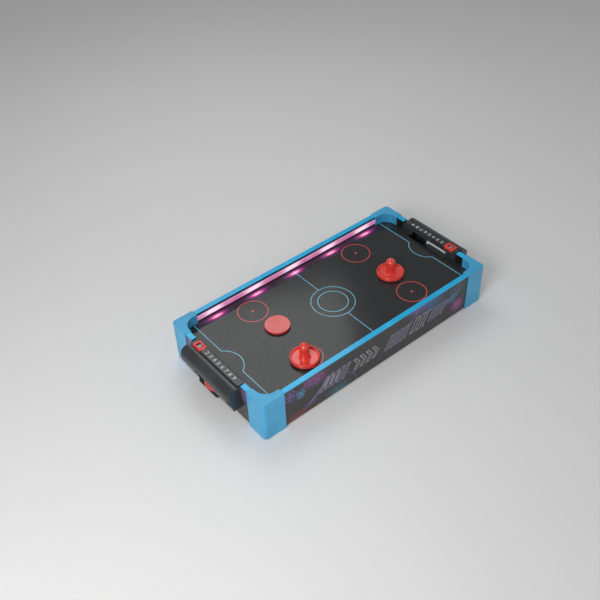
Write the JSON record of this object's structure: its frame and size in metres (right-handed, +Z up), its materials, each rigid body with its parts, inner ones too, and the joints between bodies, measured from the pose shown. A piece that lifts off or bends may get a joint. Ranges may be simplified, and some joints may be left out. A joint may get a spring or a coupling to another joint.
{
  "type": "air hockey table",
  "caption": "Table-top air hockey game: a boarded rink with an air-bored playfield over a fan, goal hoods with pockets, score sliders, light strips, pucks and paddles.",
  "frame": {"origin": "on the floor under the middle of the table, between the foot pads", "axes": "+X along the table, +Y across it to the long side whose light strip faces the viewer, +Z up"},
  "size_m": [0.4826, 0.22, 0.0836],
  "materials": {
    "printed_board": "satin printed film over fibreboard",
    "blue_edging": "gloss edge strip",
    "blue_plastic": "moulded, lightly glossy",
    "bare_wood": "sawn softwood",
    "playfield_surface": "smooth satin lacquer with printed lines",
    "hardboard": "smooth hardboard",
    "black_plastic": "moulded, satin",
    "red_plastic": "moulded, glossy",
    "white_plastic": "moulded",
    "lit_diffuser": "translucent, lit pinkish white from behind",
    "circuit_board": "white solder mask",
    "led_lens": "clear lens over phosphor",
    "steel": "zinc plated",
    "motor_can": "plated steel can",
    "cell_sleeve": "printed sleeve",
    "nickel": "nickel plated",
    "wire_sleeve": "PVC sleeve",
    "puck_plastic": "moulded, glossy",
    "score_print": "pad-printed ink",
    "felt": "dense felt",
    "foot_rubber": "soft foam rubber"
  },
  "bodies": {
    "table": {"base_board": "hardboard", "base_ledge_back": "bare_wood", "base_ledge_front": "bare_wood", "base_screws": "steel", "batteries": "cell_sleeve", "battery_box": "black_plastic", "battery_contacts": "nickel", "corner_post_back_left": "blue_plastic", "corner_post_back_right": "blue_plastic", "corner_post_front_left": "blue_plastic", "corner_post_front_right": "blue_plastic", "end_board_left": "printed_board", "end_board_right": "printed_board", "end_rail_left": "blue_edging", "end_rail_right": "blue_edging", "fan_grille": "black_plastic", "fan_housing": "black_plastic", "fan_motor": "motor_can", "fan_screws": "steel", "foot_pads": "foot_rubber", "goal_hood_left": "black_plastic", "goal_hood_right": "black_plastic", "goal_screws": "steel", "goal_tray_left": "black_plastic", "goal_tray_right": "black_plastic", "led_board_back": "circuit_board", "led_board_front": "circuit_board", "led_chips": "led_lens", "led_diffuser_back": "lit_diffuser", "led_diffuser_front": "lit_diffuser", "playfield": "playfield_surface", "playfield_ledge_back": "bare_wood", "playfield_ledge_front": "bare_wood", "post_screws": "steel", "power_switch_body": "black_plastic", "score_bar_left": "black_plastic", "score_bar_right": "black_plastic", "side_board_back": "printed_board", "side_board_front": "printed_board", "side_rail_back": "blue_edging", "side_rail_front": "blue_edging", "wire_battery": "wire_sleeve", "wire_led_back": "wire_sleeve", "wire_led_front": "wire_sleeve", "wire_motor": "wire_sleeve"},
    "rotor": {"fan_rotor": "white_plastic", "motor_shaft": "steel"},
    "score_slider_left": {"score_slider_left": "red_plastic"},
    "score_slider_right": {"score_slider_right": "red_plastic"},
    "switch_knob": {"power_switch_knob": "black_plastic"},
    "battery_door": {"battery_door": "black_plastic"},
    "puck_1": {"puck_1": "puck_plastic"},
    "puck_2": {"puck_2": "puck_plastic"},
    "paddle_1": {"paddle_1": "red_plastic", "paddle_felt_1": "felt"},
    "paddle_2": {"paddle_2": "red_plastic", "paddle_felt_2": "felt"}
  },
  "joints": [
    {"name": "fan_spin", "type": "hinge", "parent": "table", "child": "rotor", "pos_m": [0, 0, 0.02], "axis": [0, 0, 1], "continuous": true},
    {"name": "score_left", "type": "slide", "parent": "table", "child": "score_slider_left", "axis": [0, -1, 0], "range_m": [0, 0.0828]},
    {"name": "score_right", "type": "slide", "parent": "table", "child": "score_slider_right", "axis": [0, 1, 0], "range_m": [0, 0.0828]},
    {"name": "power_switch", "type": "slide", "parent": "table", "child": "switch_knob", "axis": [1, 0, 0], "range_m": [-0.004, 0]},
    {"name": "battery_door_slide", "type": "slide", "parent": "table", "child": "battery_door", "axis": [-1, 0, 0], "range_m": [0, 0.05]},
    {"name": "puck_1_glide", "type": "slide", "parent": "table", "child": "puck_1", "axis": [1, 0, 0], "range_m": [-0.075, 0.118]},
    {"name": "puck_2_exit", "type": "slide", "parent": "table", "child": "puck_2", "axis": [-1, 0, 0], "range_m": [0, 0.04]},
    {"name": "paddle_1_glide", "type": "slide", "parent": "table", "child": "paddle_1", "axis": [1, 0, 0], "range_m": [-0.068, 0.082]},
    {"name": "paddle_2_glide", "type": "slide", "parent": "table", "child": "paddle_2", "axis": [1, 0, 0], "range_m": [-0.05, 0.058]}
  ]
}
